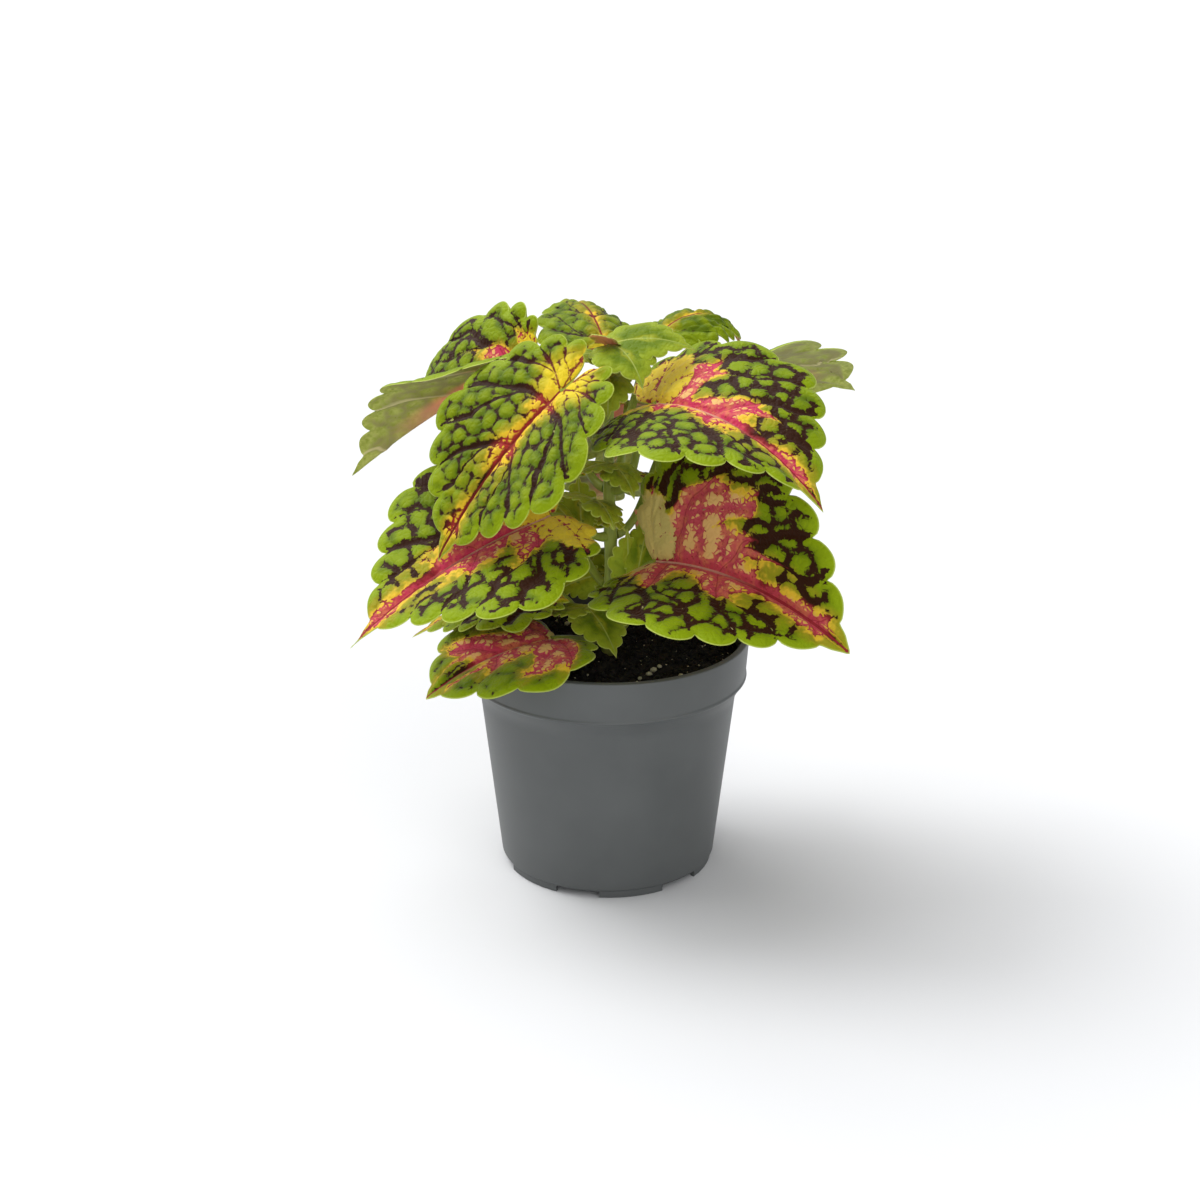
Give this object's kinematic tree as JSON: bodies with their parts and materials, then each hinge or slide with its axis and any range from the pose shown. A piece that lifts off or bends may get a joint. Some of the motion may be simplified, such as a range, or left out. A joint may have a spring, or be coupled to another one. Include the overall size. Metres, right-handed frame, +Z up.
{
  "type": "potted coleus plant",
  "caption": "Leafy coleus with toothed, patterned leaves on a square stem, growing in a round tapered plastic nursery pot filled with potting mix.",
  "frame": {"origin": "middle of the underside of the pot, on the surface it stands on", "axes": "+Z up along the stem; -Y is the front, where the two largest leaves spread to left and right"},
  "size_m": [0.2222, 0.1801, 0.2355],
  "materials": {
    "pot_plastic": "moulded grey polypropylene, satin",
    "potting_mix": "damp dark peat with a few pale mineral grains",
    "stem": "pale green, finely haired, square herbaceous stem",
    "mature_leaf": "quilted leaf: green with a maroon net, magenta and yellow along the midrib, lime teeth",
    "young_leaf": "quilted young leaf: bright green with thin dark veins and a yellow heart",
    "shoot_leaf": "small soft leaves and their stalks, light green with faint veins"
  },
  "bodies": {
    "root": {"pot": "pot_plastic", "potting_mix": "potting_mix", "stem": "stem", "leaf_lowest_front_left": "mature_leaf", "leaf_lowest_rear_right": "mature_leaf", "leaf_low_front_right": "mature_leaf", "leaf_low_rear_left": "mature_leaf", "leaf_middle_front_left": "mature_leaf", "leaf_middle_rear_right": "mature_leaf", "leaf_high_front_right": "mature_leaf", "leaf_high_rear_left": "mature_leaf", "leaf_upper_front_left": "young_leaf", "leaf_upper_rear_right": "young_leaf", "leaf_side_left": "mature_leaf", "leaf_side_right": "mature_leaf", "leaf_middle_rear": "mature_leaf", "leaf_high_rear": "mature_leaf", "leaf_top_rear": "young_leaf", "shoot_tip": "shoot_leaf", "shoot_front_high": "shoot_leaf", "shoot_front": "shoot_leaf", "shoot_low_front": "shoot_leaf", "shoot_left": "shoot_leaf", "shoot_low_rear": "shoot_leaf"}
  },
  "joints": []
}
